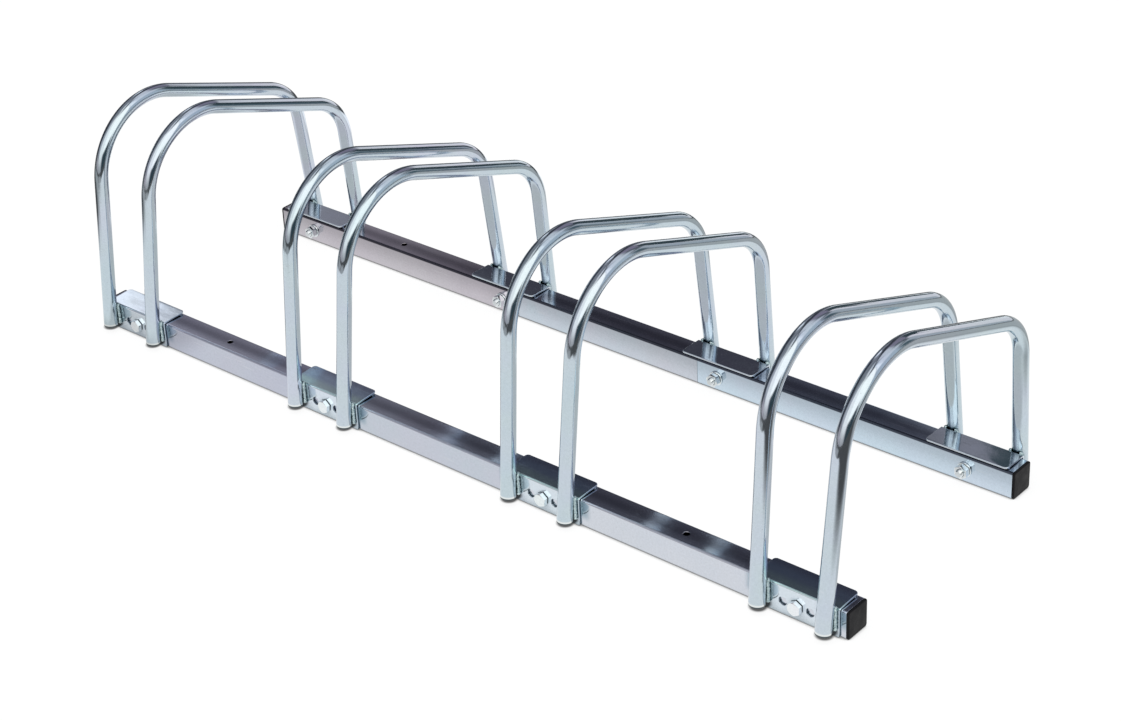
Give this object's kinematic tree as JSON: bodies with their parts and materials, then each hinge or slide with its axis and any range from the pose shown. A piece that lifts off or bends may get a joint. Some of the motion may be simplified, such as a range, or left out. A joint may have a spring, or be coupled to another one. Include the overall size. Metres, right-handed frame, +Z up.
{
  "type": "bike parking stand",
  "caption": "Floor stand for parking bicycles side by side: pairs of bent tube hoops on folded brackets, bolted to two square tube rails.",
  "frame": {"origin": "on the floor, in the middle of the stand's length and depth", "axes": "+X along the rails to the right as seen from the high ends of the hoops, +Y from the front rail (high ends) to the back rail (low ends), +Z up"},
  "size_m": [1.01, 0.3564, 0.266],
  "materials": {
    "rail_zinc": "bright zinc plate on rolled square tube",
    "hoop_zinc": "bright zinc plate on drawn round tube, faintly blue",
    "bracket_zinc": "bright zinc plate on folded sheet, with weld beads",
    "fastener_zinc": "bright zinc plated M8 fastener",
    "joiner_steel": "dull zinc plate, inside the rail",
    "cap_plastic": "black moulded polyethylene, slightly soft sheen"
  },
  "bodies": {
    "root": {"front_rail_left": "rail_zinc", "front_rail_middle": "rail_zinc", "front_rail_right": "rail_zinc", "front_joiner_left": "joiner_steel", "front_end_cap_left": "cap_plastic", "front_joiner_right": "joiner_steel", "front_end_cap_right": "cap_plastic", "front_bracket_1": "bracket_zinc", "front_bolt_1": "fastener_zinc", "front_nut_1": "fastener_zinc", "front_washer_1": "fastener_zinc", "front_bracket_2": "bracket_zinc", "front_bolt_2": "fastener_zinc", "front_nut_2": "fastener_zinc", "front_washer_2": "fastener_zinc", "front_bracket_3": "bracket_zinc", "front_bolt_3": "fastener_zinc", "front_nut_3": "fastener_zinc", "front_washer_3": "fastener_zinc", "front_bracket_4": "bracket_zinc", "front_bolt_4": "fastener_zinc", "front_nut_4": "fastener_zinc", "front_washer_4": "fastener_zinc", "back_rail_left": "rail_zinc", "back_rail_middle": "rail_zinc", "back_rail_right": "rail_zinc", "back_joiner_left": "joiner_steel", "back_end_cap_left": "cap_plastic", "back_joiner_right": "joiner_steel", "back_end_cap_right": "cap_plastic", "back_bracket_1": "bracket_zinc", "back_bolt_1": "fastener_zinc", "back_nut_1": "fastener_zinc", "back_washer_1": "fastener_zinc", "back_bracket_2": "bracket_zinc", "back_bolt_2": "fastener_zinc", "back_nut_2": "fastener_zinc", "back_washer_2": "fastener_zinc", "back_bracket_3": "bracket_zinc", "back_bolt_3": "fastener_zinc", "back_nut_3": "fastener_zinc", "back_washer_3": "fastener_zinc", "back_bracket_4": "bracket_zinc", "back_bolt_4": "fastener_zinc", "back_nut_4": "fastener_zinc", "back_washer_4": "fastener_zinc", "hoop_1_left": "hoop_zinc", "hoop_1_right": "hoop_zinc", "hoop_2_left": "hoop_zinc", "hoop_2_right": "hoop_zinc", "hoop_3_left": "hoop_zinc", "hoop_3_right": "hoop_zinc", "hoop_4_left": "hoop_zinc", "hoop_4_right": "hoop_zinc"}
  },
  "joints": []
}
